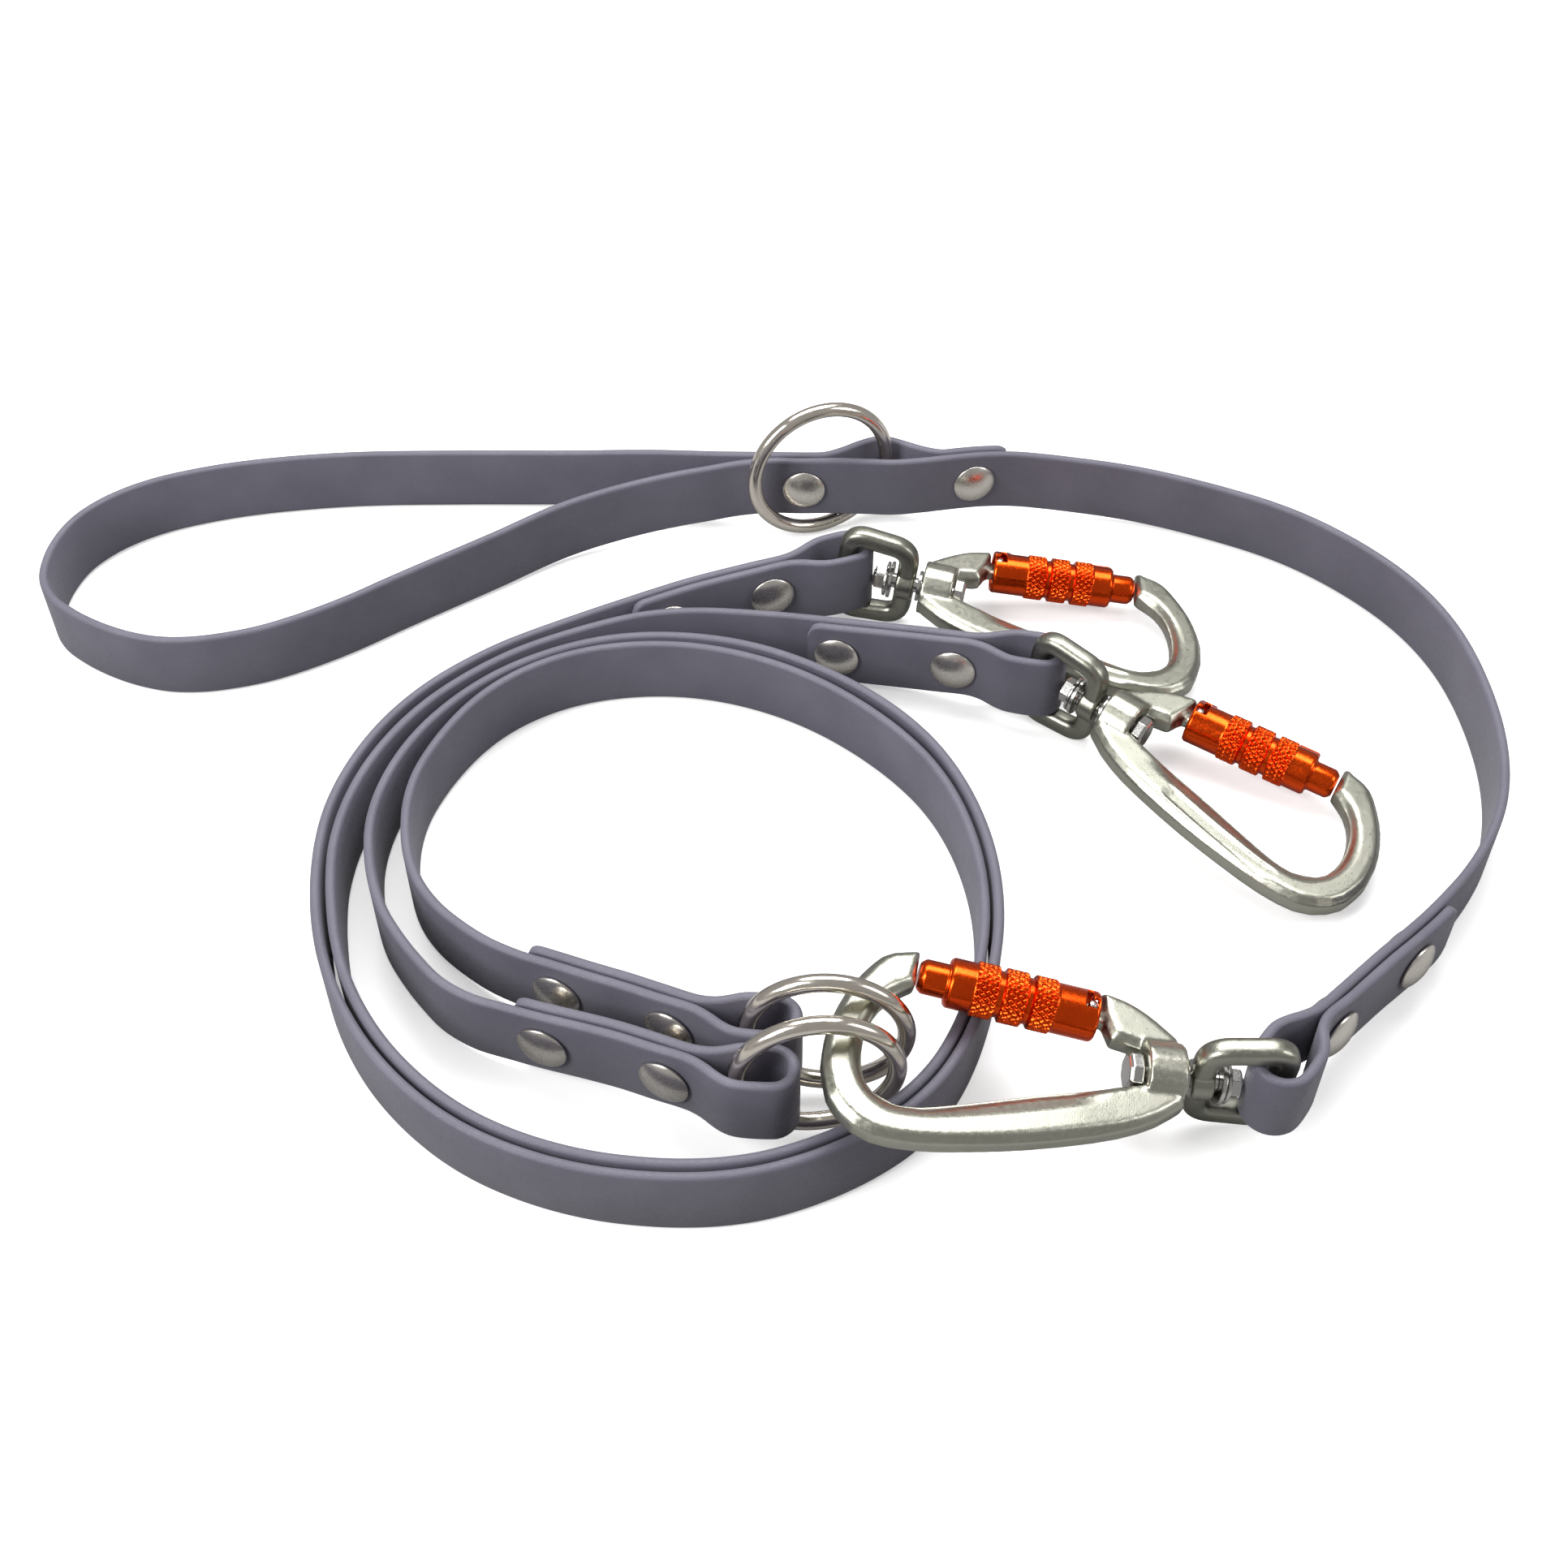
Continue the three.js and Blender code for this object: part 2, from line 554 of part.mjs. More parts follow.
function nut() {
  const flange = barAlongX(9.4, -9.5, -8.5, 12);
  const hex = barAlongX(6.6, -12.2, -9.2, 6);
  return cut(join(flange, hex), barAlongX(BOLT + 2 * GAP, -14, -6));
}

const pieces = {
  body: carabinerBody(),
  gate: gate(),
  gate_pin: gatePin(),
  gate_spring: gateSpring(),
  lock_sleeve: sleeve(),
  bow: bow(),
  swivel_bolt: bolt(),
  swivel_spacer: ringAlongX(8, BOLT + 2 * GAP, -0.2, 0.7),
  swivel_washer: ringAlongX(10, BOLT + 2 * GAP, -8.1, -7.2),
  swivel_nut: nut(),
};
const pieceFinish = {
  body: BODY, gate: ORANGE, gate_pin: STEEL, gate_spring: STEEL, lock_sleeve: ORANGE,
  bow: BODY, swivel_bolt: STEEL, swivel_spacer: STEEL, swivel_washer: STEEL, swivel_nut: STEEL,
};

// Places a carabiner by its swivel point, the way its hook points and the side its gate is on.
function addCarabiner(name, origin, axis, gateSide, bowTilt = 0) {
  const x = new THREE.Vector3(...axis).normalize();
  const y = new THREE.Vector3(...gateSide);
  y.addScaledVector(x, -y.dot(x)).normalize();
  const z = new THREE.Vector3().crossVectors(x, y);
  const assembly = new THREE.Group();
  assembly.position.set(...origin);
  assembly.quaternion.setFromRotationMatrix(new THREE.Matrix4().makeBasis(x, y, z));
  const bowHolder = new THREE.Group();
  bowHolder.position.x = BOW_NEAR;
  bowHolder.rotation.y = bowTilt;
  assembly.add(bowHolder);
  for (const [label, geometry] of Object.entries(pieces)) {
    const parent = label === "bow" ? bowHolder : assembly;
    const mesh = addMesh(parent, `${name}_${label}`, geometry, pieceFinish[label]);
    if (label === "bow") mesh.position.x = -BOW_NEAR;
  }
  leash.add(assembly);
}

addCarabiner("carabiner_a", [66.2, 101.2, 13.34], [0.969, -0.222, -0.105], [0.223, 0.975, -0.002]);
addCarabiner("carabiner_b", [111.3, 52.2, 13.34], [0.788, -0.606, -0.106], [0.609, 0.793, -0.004]);
const towardsRings = [-0.985, 0.02, 0.163];
const bowTurn = THREE.MathUtils.degToRad(-7);
addCarabiner("carabiner_main", [114.8, -64.6, 18], towardsRings, [0.031, 0.998, 0.08], bowTurn);

leash.position.set(-LAYOUT_MIDDLE[0], -LAYOUT_MIDDLE[1], 0);
const laidOut = new THREE.Group();
laidOut.add(leash);

export default laidOut;
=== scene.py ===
"""Training leash: fine straps, rivets, rings and twist-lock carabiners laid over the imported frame.

Lengths in the carabiner, rivet and ring sections are millimetres in a part's own frame; everything that
reaches a mesh is in metres.
"""

import json
import math

import bmesh
import bpy
import numpy as np
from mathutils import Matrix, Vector

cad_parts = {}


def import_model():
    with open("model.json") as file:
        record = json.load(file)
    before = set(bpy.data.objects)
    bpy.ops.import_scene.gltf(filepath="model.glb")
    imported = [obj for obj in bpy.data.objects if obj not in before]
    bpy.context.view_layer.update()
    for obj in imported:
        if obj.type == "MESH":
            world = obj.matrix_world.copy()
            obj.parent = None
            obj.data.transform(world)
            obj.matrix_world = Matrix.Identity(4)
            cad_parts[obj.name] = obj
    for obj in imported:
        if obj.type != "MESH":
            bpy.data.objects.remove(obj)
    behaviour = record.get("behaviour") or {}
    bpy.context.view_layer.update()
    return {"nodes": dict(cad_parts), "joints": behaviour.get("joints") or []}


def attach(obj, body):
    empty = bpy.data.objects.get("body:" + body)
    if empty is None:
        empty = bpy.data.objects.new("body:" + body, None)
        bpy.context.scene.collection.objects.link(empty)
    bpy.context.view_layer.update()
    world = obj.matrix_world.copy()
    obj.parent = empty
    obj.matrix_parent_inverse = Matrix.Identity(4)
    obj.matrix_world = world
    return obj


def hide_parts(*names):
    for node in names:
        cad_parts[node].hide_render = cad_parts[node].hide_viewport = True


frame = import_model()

MM = 0.001


# ---- node materials -----------------------------------------------------------------------------
NOISE_LOW, NOISE_HIGH = 0.3, 0.7


class Nodes:
    """A short way to write a Principled material's node tree.

    Texture scales are features per metre, and bump distances are metres.
    """

    def __init__(self, name, color, roughness, metallic):
        self.material = bpy.data.materials.new(name)
        self.material.use_nodes = True
        self.tree = self.material.node_tree
        self.shader = self.tree.nodes["Principled BSDF"]
        self.shader.inputs["Base Color"].default_value = (*color, 1)
        self.shader.inputs["Roughness"].default_value = roughness
        self.shader.inputs["Metallic"].default_value = metallic
        self.place = self.add("ShaderNodeTexCoord").outputs["Object"]

    def add(self, kind, **values):
        node = self.tree.nodes.new(kind)
        for key, value in values.items():
            if key in node.inputs:
                node.inputs[key].default_value = value
            else:
                setattr(node, key, value)
        return node

    def link(self, start, end):
        self.tree.links.new(start, end)

    def noise(self, scale, detail):
        noise = self.add("ShaderNodeTexNoise", Scale=scale, Detail=detail)
        self.link(self.place, noise.inputs["Vector"])
        return noise.outputs["Fac"]

    def cells(self, scale):
        """Distance to the nearest edge of a pebbled pattern."""
        cells = self.add("ShaderNodeTexVoronoi", feature="DISTANCE_TO_EDGE", Scale=scale)
        self.link(self.place, cells.inputs["Vector"])
        return cells.outputs["Distance"]

    def spread(self, value, low, high):
        """Stretches the middle of a noise to run from low to high."""
        ramp = self.add("ShaderNodeMapRange")
        self.link(value, ramp.inputs["Value"])
        ramp.inputs["From Min"].default_value = NOISE_LOW
        ramp.inputs["From Max"].default_value = NOISE_HIGH
        ramp.inputs["To Min"].default_value = low
        ramp.inputs["To Max"].default_value = high
        return ramp.outputs["Result"]

    def tint(self, value, first, second):
        """Base colour that wanders between two colours."""
        mix = self.add("ShaderNodeMix", data_type="RGBA")
        self.link(value, mix.inputs[0])
        mix.inputs[6].default_value = (*first, 1)
        mix.inputs[7].default_value = (*second, 1)
        self.link(mix.outputs[2], self.shader.inputs["Base Color"])

    def bump(self, value, strength, distance, below=None):
        """Relief from a texture, on top of the relief below it."""
        bump = self.add("ShaderNodeBump", Strength=strength, Distance=distance)
        self.link(value, bump.inputs["Height"])
        if below is not None:
            self.link(below, bump.inputs["Normal"])
        self.link(bump.outputs["Normal"], self.shader.inputs["Normal"])
        return bump.outputs["Normal"]

    def rough(self, value):
        self.link(value, self.shader.inputs["Roughness"])


def strap_material():
    """Matt coated webbing with a fine pebbled grain."""
    m = Nodes("strap_webbing", (0.13, 0.125, 0.16), 0.55, 0)
    m.tint(m.spread(m.noise(60, 3), 0, 1), (0.117, 0.112, 0.146), (0.142, 0.136, 0.174))
    m.rough(m.spread(m.noise(900, 3), 0.46, 0.62))
    slow = m.bump(m.noise(140, 2), 0.25, 0.0004)
    grain = m.bump(m.cells(1300), 0.5, 0.00016, slow)
    m.bump(m.noise(3600, 4), 0.4, 0.00008, grain)
    m.shader.inputs["Specular IOR Level"].default_value = 0.42
    m.shader.inputs["Sheen Weight"].default_value = 0.12
    m.shader.inputs["Sheen Roughness"].default_value = 0.5
    return m.material


def strap_core_material():
    """The dark woven core that shows at a cut end."""
    m = Nodes("strap_cut_core", (0.02, 0.022, 0.022), 0.85, 0)
    m.tint(m.spread(m.noise(1800, 4), 0, 1), (0.012, 0.013, 0.013), (0.05, 0.052, 0.05))
    m.bump(m.noise(2600, 5), 0.8, 0.0003)
    return m.material


def nickel_material():
    """Polished warm nickel of the ring wire."""
    m = Nodes("polished_nickel", (0.8, 0.74, 0.66), 0.14, 1)
    m.tint(m.spread(m.noise(35, 2), 0, 1), (0.75, 0.69, 0.6), (0.86, 0.8, 0.72))
    m.rough(m.spread(m.noise(500, 5), 0.1, 0.22))
    m.bump(m.noise(220, 2), 0.1, 0.00008)
    return m.material


def rivet_material():
    """Softer nickel of the rivet caps."""
    m = Nodes("brushed_nickel", (0.78, 0.74, 0.68), 0.27, 1)
    m.tint(m.spread(m.noise(90, 3), 0, 1), (0.72, 0.68, 0.62), (0.84, 0.8, 0.74))
    m.rough(m.spread(m.noise(700, 4), 0.25, 0.3))
    m.bump(m.noise(130, 2), 0.02, 0.00005)
    return m.material


def forging_material(name, shade):
    """Satin grey-green plated forging with a faint blasted grain; a shade below 1 darkens the whole
    colour as painted shade.
    """
    m = Nodes(name, (0.45 * shade, 0.45 * shade, 0.38 * shade), 0.34, 1)
    dark = (0.4 * shade, 0.405 * shade, 0.34 * shade)
    light = (0.5 * shade, 0.495 * shade, 0.425 * shade)
    m.tint(m.spread(m.noise(45, 3), 0, 1), dark, light)
    m.rough(m.spread(m.noise(1200, 4), 0.27, 0.41))
    soft = m.bump(m.noise(300, 3), 0.14, 0.0002)
    m.bump(m.noise(3000, 3), 0.45, 0.00006, soft)
    return m.material


def anodised_material():
    """Orange anodised metal."""
    m = Nodes("orange_anodised", (0.86, 0.072, 0.003), 0.22, 1)
    m.tint(m.spread(m.noise(80, 3), 0, 1), (0.8, 0.06, 0.002), (0.92, 0.09, 0.004))
    m.rough(m.spread(m.noise(1500, 4), 0.15, 0.3))
    m.bump(m.noise(2600, 3), 0.18, 0.00004)
    m.shader.inputs["Coat Weight"].default_value = 0.12
    m.shader.inputs["Coat Roughness"].default_value = 0.15
    return m.material


def steel_material():
    """Bright turned steel of bolts, nuts and pins."""
    m = Nodes("turned_steel", (0.62, 0.61, 0.59), 0.2, 1)
    m.rough(m.spread(m.noise(2500, 4), 0.16, 0.28))
    m.bump(m.noise(1800, 3), 0.1, 0.00001)
    return m.material


STRAP = strap_material()
CORE = strap_core_material()
NICKEL = nickel_material()
FORGING = forging_material("satin_forging", 1)
# the bows get a darker copy of the forging: painted shade for the less light they catch
PAINTED_SHADE_FORGING = forging_material("satin_forging_painted_shade", 0.72)
RIVET = rivet_material()
ORANGE = anodised_material()
STEEL = steel_material()


# ---- building helpers ---------------------------------------------------------------------------
def make(name, verts, faces, material, smooth=True):
    """A mesh object in the scene that takes its finish from a slot."""
    mesh = bpy.data.meshes.new(name)
    mesh.from_pydata([tuple(v) for v in verts], [], faces)
    mesh.materials.append(material)
    mesh.update()
    if smooth:
        mesh.polygons.foreach_set("use_smooth", [True] * len(mesh.polygons))
    piece = bpy.data.objects.new(name, mesh)
    bpy.context.scene.collection.objects.link(piece)
    return piece


def sheet(rows, cols, wrap_rows=False):
    """Quads over rows of points that each close round on themselves."""
    faces = []
    for i in range(rows if wrap_rows else rows - 1):
        for j in range(cols):
            a = i * cols + j
            b = i * cols + (j + 1) % cols
            c = ((i + 1) % rows) * cols + (j + 1) % cols
            d = ((i + 1) % rows) * cols + j
            faces.append((a, b, c, d))
    return faces


def lathe(name, profile, place, axis, material, sides, smooth=True):
    """Turns a profile of (radius, distance) in millimetres about an axis through a place."""
    turn = Vector((0, 0, 1)).rotation_difference(Vector(axis)).to_matrix()
    verts = []
    for radius, distance in profile:
        for k in range(sides):
            angle = 2 * math.pi * (k + 0.5) / sides
            point = Vector((radius * math.cos(angle), radius * math.sin(angle), distance)) * MM
            verts.append(turn @ point + Vector(place))
    faces = [tuple(reversed(f)) for f in sheet(len(profile), sides)]
    piece = make(name, verts, faces, material, smooth)
    clean(piece)
    return piece


def clean(piece, distance=1e-6):
    """Welds points that meet and turns every face outward."""
    work = bmesh.new()
    work.from_mesh(piece.data)
    bmesh.ops.remove_doubles(work, verts=work.verts, dist=distance)
    bmesh.ops.dissolve_degenerate(work, edges=work.edges, dist=distance)
    bmesh.ops.recalc_face_normals(work, faces=work.faces)
    work.to_mesh(piece.data)
    work.free()


def sharpen(piece, degrees=35):
    """Keeps shading crisp over edges steeper than the angle."""
    piece.data.set_sharp_from_angle(angle=math.radians(degrees))


def bevel(piece, width, degrees=30):
    """Breaks edges steeper than the angle with a narrow two-step chamfer."""
    modifier = piece.modifiers.new("bevel", "BEVEL")
    modifier.width = width * MM
    modifier.segments = 2
    modifier.limit_method = "ANGLE"
    modifier.angle_limit = math.radians(degrees)
    modifier.harden_normals = False


def apply_modifiers(piece):
    """Swaps a piece's mesh for the one its modifiers make."""
    graph = bpy.context.evaluated_depsgraph_get()
    mesh = bpy.data.meshes.new_from_object(piece.evaluated_get(graph))
    old = piece.data
    piece.modifiers.clear()
    piece.data = mesh
    bpy.data.meshes.remove(old)


def cad_points(node):
    """Corner points of a CAD node, one to a row."""
    mesh = frame["nodes"][node].data
    points = np.empty(len(mesh.vertices) * 3)
    mesh.vertices.foreach_get("co", points)
    return points.reshape(-1, 3)


def smooth_step(x, low, high):
    """Eases from 0 at low to 1 at high."""
    t = np.clip((x - low) / (high - low), 0, 1)
    return t * t * (3 - 2 * t)


# ---- straps -------------------------------------------------------------------------------------
STRAP_WIDTH = 19 * MM
STRAP_THICK = 2.5 * MM
STRAP_RIM = 1.15 * MM  # rounding of the webbing's long edges
RIM_STEPS = 5  # points in each rounded quarter
STRAP_CORNER = 3.4 * MM  # rounding of a cut end's corners
WELD_GRID = 2e5  # points closer than 1 / WELD_GRID metres count as one
UPWARD = 0.8  # least upward slope of a face on the upper edge
SQUARE_TURN = math.radians(60)  # only the corners of a cut end turn by more
CURVE_SAMPLES = 16  # samples between two points of a curve


def rim_loop(node):
    """The outline of a CAD strap's upper edge, in order."""
    mesh = frame["nodes"][node].data
    ids, points = {}, []

    def number(index):
        point = mesh.vertices[index].co
        key = tuple(round(c * WELD_GRID) for c in point)
        if key not in ids:
            ids[key] = len(points)
            points.append(np.array(point))
        return ids[key]

    uses = {}
    for face in mesh.polygons:
        if face.normal.z < UPWARD:
            continue
        corners = [number(i) for i in face.vertices]
        for a, b in zip(corners, corners[1:] + corners[:1]):
            if a != b:
                uses.setdefault(frozenset((a, b)), []).append((a, b))
    after = {edges[0][0]: edges[0][1] for edges in uses.values() if len(edges) == 1}
    start = next(iter(after))
    loop, at = [start], after[start]
    while at != start:
        loop.append(at)
        at = after[at]
    return np.array([points[i] for i in loop])


def middle_line(node):
    """Middle points of a CAD strap from one cut end to the other."""
    loop = rim_loop(node)
    count = len(loop)
    edge = np.roll(loop, -1, 0) - loop
    heading = np.arctan2(edge[:, 1], edge[:, 0])
    turn = (heading - np.roll(heading, 1) + math.pi) % (2 * math.pi) - math.pi
    square = np.abs(turn) > SQUARE_TURN
    ends = []
    for i in range(count):
        after = (i + 1) % count
        if square[i] and square[after] and turn[i] * turn[after] > 0:
            ends.append(i)
    first, second = ends[0], ends[1]
    one = [loop[i % count] for i in range(first + 1, second + 1)]
    other = [loop[i % count] for i in range(second + 1, first + count + 1)][::-1]
    other = np.array(other)
    middles = []
    for k, point in enumerate(one):
        if len(one) == len(other):
            mate = other[k]
        else:
            mate = other[np.argmin(np.linalg.norm(other - point, axis=1))]
        middles.append((point + mate) / 2)
    line = np.array(middles)
    line[:, 2] -= STRAP_WIDTH / 2
    return line


def smooth_line(points, step=1.0 * MM):
    """A Catmull-Rom curve through the points: even samples, and each one's distance from the start."""
    ends = [2 * points[0] - points[1], *points, 2 * points[-1] - points[-2]]
    dense = []
    for i in range(1, len(ends) - 2):
        p0, p1, p2, p3 = ends[i - 1 : i + 3]
        t0 = 0
        t1 = t0 + max(1e-9, np.linalg.norm(p1 - p0)) ** 0.5
        t2 = t1 + max(1e-9, np.linalg.norm(p2 - p1)) ** 0.5
        t3 = t2 + max(1e-9, np.linalg.norm(p3 - p2)) ** 0.5
        for t in np.linspace(t1, t2, CURVE_SAMPLES, endpoint=False):
            a1 = (t1 - t) / (t1 - t0) * p0 + (t - t0) / (t1 - t0) * p1
            a2 = (t2 - t) / (t2 - t1) * p1 + (t - t1) / (t2 - t1) * p2
            a3 = (t3 - t) / (t3 - t2) * p2 + (t - t2) / (t3 - t2) * p3
            b1 = (t2 - t) / (t2 - t0) * a1 + (t - t0) / (t2 - t0) * a2
            b2 = (t3 - t) / (t3 - t1) * a2 + (t - t1) / (t3 - t1) * a3
            dense.append((t2 - t) / (t2 - t1) * b1 + (t - t1) / (t2 - t1) * b2)
    dense = np.array([*dense, points[-1]])
    run = np.concatenate([[0], np.cumsum(np.linalg.norm(np.diff(dense, axis=0), axis=1))])
    even = np.linspace(0, run[-1], int(run[-1] / step) + 1)
    return np.stack([np.interp(even, run, dense[:, k]) for k in range(3)], 1), even


def strap_section():
    """Points (across, up) of the webbing's section, with soft rims."""
    half = STRAP_THICK / 2 - STRAP_RIM
    tall = STRAP_WIDTH / 2 - STRAP_RIM
    points = []
    for side, up, low in ((1, -1, -90), (1, 1, 0), (-1, 1, 90), (-1, -1, 180)):
        for k in range(RIM_STEPS):
            angle = math.radians(low + 90 * k / RIM_STEPS)
            across = side * half + STRAP_RIM * math.cos(angle)
            points.append((across, up * tall + STRAP_RIM * math.sin(angle)))
    return points


def strap(node):
    """Webbing lofted on edge along the middle of its CAD solid, with rounded corners at its cut ends."""
    line, run = smooth_line(middle_line(node))
    heading = np.gradient(line, axis=0)
    heading[:, 2] = 0
    heading /= np.linalg.norm(heading, axis=1)[:, None]
    left = np.stack([-heading[:, 1], heading[:, 0], np.zeros(len(line))], 1)
    section = strap_section()
    verts = []
    for k, point in enumerate(line):
        inset = STRAP_CORNER - min(STRAP_CORNER, run[k], run[-1] - run[k])
        rise = math.sqrt(max(0, STRAP_CORNER**2 - inset**2))
        shrink = 1 - (STRAP_CORNER - rise) / (STRAP_WIDTH / 2)
        for across, up in section:
            verts.append(point + left[k] * across + np.array([0, 0, up * shrink]))
    count = len(section)
    faces = sheet(len(line), count)
    faces.append(tuple(range(count)))
    faces.append(tuple(range((len(line) - 1) * count, len(line) * count))[::-1])
    piece = make(f"{node}_webbing", verts, faces, STRAP)
    clean(piece, 1e-7)
    piece.data.materials.append(CORE)
    for face in piece.data.polygons:
        if len(face.vertices) > 4:
            face.material_index = 1
            face.use_smooth = False
    sharpen(piece, 50)
    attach(piece, "straps")
    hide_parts(node)


# ---- rivets -------------------------------------------------------------------------------------
CAP_RIM = ((0, -0.35), (5.5, -0.35), (5.85, -0.3), (6, -0.05), (6, 0.2))  # radius, and height
CAP_RADIUS = 6
CAP_SIDES = 56
DOME_BASE = 0.25  # height at which the dome leaves the rim
DOME_RISE = 1.75
DOME_FLATNESS = 1.6
CAP_HEIGHT = DOME_BASE + DOME_RISE


def dome():
    """Profile of (radius, height) from just inside the rim to the top."""
    points = []
    for degrees in range(84, -1, -7):
        angle = math.radians(degrees)
        lift = DOME_RISE * math.cos(angle) ** DOME_FLATNESS
        points.append((CAP_RADIUS * math.sin(angle), DOME_BASE + lift))
    return points


def rivet(label):
    """Two low-domed caps on one axis, their rims rolled in onto the webbing."""
    socket = cad_points(f"{label}_socket_cap")
    post = cad_points(f"{label}_post_cap")
    centre = (socket.min(0) + socket.max(0)) / 2
    spread = np.linalg.svd(socket - socket.mean(0))[2][2]
    axis = spread if np.dot(spread, socket.mean(0) - post.mean(0)) > 0 else -spread
    top = ((socket - centre) @ axis).max()
    bottom = ((post - centre) @ axis).min()
    for part, height, way in (("socket_cap", top, 1), ("post_cap", bottom, -1)):
        seat = centre + axis * (height - way * CAP_HEIGHT * MM)
        profile = [*CAP_RIM, *dome()]
        piece = lathe(f"{label}_{part}_dome", profile, seat, axis * way, RIVET, CAP_SIDES)
        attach(piece, "straps")
        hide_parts(f"{label}_{part}")


# ---- rings --------------------------------------------------------------------------------------
RING_STEPS = 144
WIRE_SIDES = 28


def ring(node):
    """A round wire ring, its size and lean read from the CAD node."""
    points = cad_points(node)
    centre = (points.min(0) + points.max(0)) / 2
    normal = np.linalg.svd(points - centre)[2][2]
    out = np.linalg.norm(points - centre, axis=1).max()
    wire = np.abs((points - centre) @ normal).max()
    side = np.cross(normal, [0, 0, 1])
    side /= np.linalg.norm(side)
    up = np.cross(side, normal)
    verts = []
    for k in range(RING_STEPS):
        angle = 2 * math.pi * k / RING_STEPS
        arm = side * math.cos(angle) + up * math.sin(angle)
        for j in range(WIRE_SIDES):
            turn = 2 * math.pi * j / WIRE_SIDES
            reach = out - wire + wire * math.cos(turn)
            verts.append(centre + arm * reach + normal * wire * math.sin(turn))
    piece = make(f"{node}_wire", verts, sheet(RING_STEPS, WIRE_SIDES, True), NICKEL)
    clean(piece)
    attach(piece, node)
    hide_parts(node)


# ---- carabiner ----------------------------------------------------------------------------------
GATE_ROOT = (18, 12.5)  # start of the gate's axis
GATE_TILT = 0.14  # lean of the gate's axis, in radians
HINGE = (2.2, 0.3)  # hinge pin along and off the gate's axis


class Carabiner:
    """A clip's own frame in millimetres: x from the boss to the hook, y to the gate, z across."""

    def __init__(self, name):
        joints = {j["name"]: j for j in frame["joints"]}
        swivel = joints[f"{name}_swivel"]
        hinge = joints[f"{name}_gate_open"]
        bar = joints[f"{name}_bow_swing"]
        self.name = name
        self.origin = np.array(swivel["pos_m"])
        self.x = np.array(swivel["axis"])
        self.z = -np.array(hinge["axis"])
        self.y = np.cross(self.z, self.x)
        self.basis = np.stack([self.x, self.y, self.z], 1)
        self.bar = np.array(bar["pos_m"])
        self.bar_axis = np.array(bar["axis"])

    def world(self, points):
        return self.origin + (np.asarray(points, float) * MM) @ self.basis.T

    def local(self, points):
        return (points - self.origin) @ self.basis / MM

    def gate_frame(self, points):
        """Points along and around the gate's own axis, moved into the world."""
        x, y, z = np.asarray(points, float).T
        cos, sin = math.cos(GATE_TILT), math.sin(GATE_TILT)
        along = GATE_ROOT[0] + x * cos - y * sin
        across = GATE_ROOT[1] + x * sin + y * cos
        return self.world(np.stack([along, across, z], 1))


def fuse(piece, voxel, rounds):
    """Remeshes overlapping shells into one fine skin and wears its edges round."""
    remesh = piece.modifiers.new("remesh", "REMESH")
    remesh.mode = "VOXEL"
    remesh.voxel_size = voxel * MM
    remesh.adaptivity = 0
    smooth = piece.modifiers.new("smooth", "SMOOTH")
    smooth.factor = 0.5
    smooth.iterations = rounds
    apply_modifiers(piece)
    piece.data.polygons.foreach_set("use_smooth", [True] * len(piece.data.polygons))


# middle of the forging's arm, from the boss round the hook to the nose
ARM = [(12, -9.2), (20, -12), (33, -15.4), (46, -18.2), (58, -20), (66, -19.2), (71.6, -14.4),
       (74.2, -6.6), (73, 2), (69, 9.2), (64.6, 14.4), (60, 18)]
ARM_STEP = 0.5
BATCH = 4000  # points matched to the arm at a time
BODY_VOXEL, BODY_ROUNDS = 0.36, 16  # remesh size and smoothing rounds
INNER_SLOPE, OUTER_SLOPE = 0.95, 0.25  # drop of the face towards either edge of the arm
PANEL_DEPTH = 0.42
SWELL = 0.04  # what the smoothing took off the thickness, as a fraction


def sculpt_body(clip, piece):
    """Swells the forging back to size, slopes the faces of its arm and sinks a panel in its spine."""
    mesh = piece.data
    points = np.empty(len(mesh.vertices) * 3)
    mesh.vertices.foreach_get("co", points)
    local = clip.local(points.reshape(-1, 3))
    arm = smooth_line(np.array([(x, y, 0) for x, y in ARM], float), ARM_STEP)[0]
    along = np.gradient(arm, axis=0)
    along /= np.linalg.norm(along, axis=1)[:, None]
    near = np.empty(len(local), int)
    for start in range(0, len(local), BATCH):
        block = local[start : start + BATCH, None, :2] - arm[None, :, :2]
        near[start : start + BATCH] = (block**2).sum(2).argmin(1)
    offset = local[:, :2] - arm[near, :2]
    inner = offset[:, 1] * along[near, 0] - offset[:, 0] * along[near, 1]
    place = near * ARM_STEP
    end = len(arm) * ARM_STEP
    on_arm = smooth_step(place, 4, 14) * (1 - smooth_step(place, end - 9, end - 2))
    face = smooth_step(np.abs(local[:, 2]), 1.2, 2.6)
    drop = INNER_SLOPE * smooth_step(inner, 0.7, 4.4) + OUTER_SLOPE * smooth_step(-inner, 2.4, 4.6)
    upper = smooth_step(local[:, 2], 0, 2)
    panel = upper * smooth_step(place, 14, 18) * (1 - smooth_step(place, 46, 50))
    drop = drop + PANEL_DEPTH * panel * (1 - smooth_step(np.abs(inner + 0.9), 1.5, 2.0))
    local[:, 2] -= np.sign(local[:, 2]) * face * on_arm * drop
    local[:, 2] *= 1 + SWELL * on_arm
    mesh.vertices.foreach_set("co", clip.world(local).ravel())
    mesh.update()


def body(clip):
    """A copy of the CAD forging, remeshed finely and sculpted."""
    mesh = frame["nodes"][f"{clip.name}_body"].data.copy()
    mesh.materials.clear()
    mesh.materials.append(FORGING)
    piece = bpy.data.objects.new(f"{clip.name}_body_forging", mesh)
    bpy.context.scene.collection.objects.link(piece)
    clean(piece)
    fuse(piece, BODY_VOXEL, BODY_ROUNDS)
    sculpt_body(clip, piece)
    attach(piece, f"{clip.name}_body")
    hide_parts(f"{clip.name}_body")


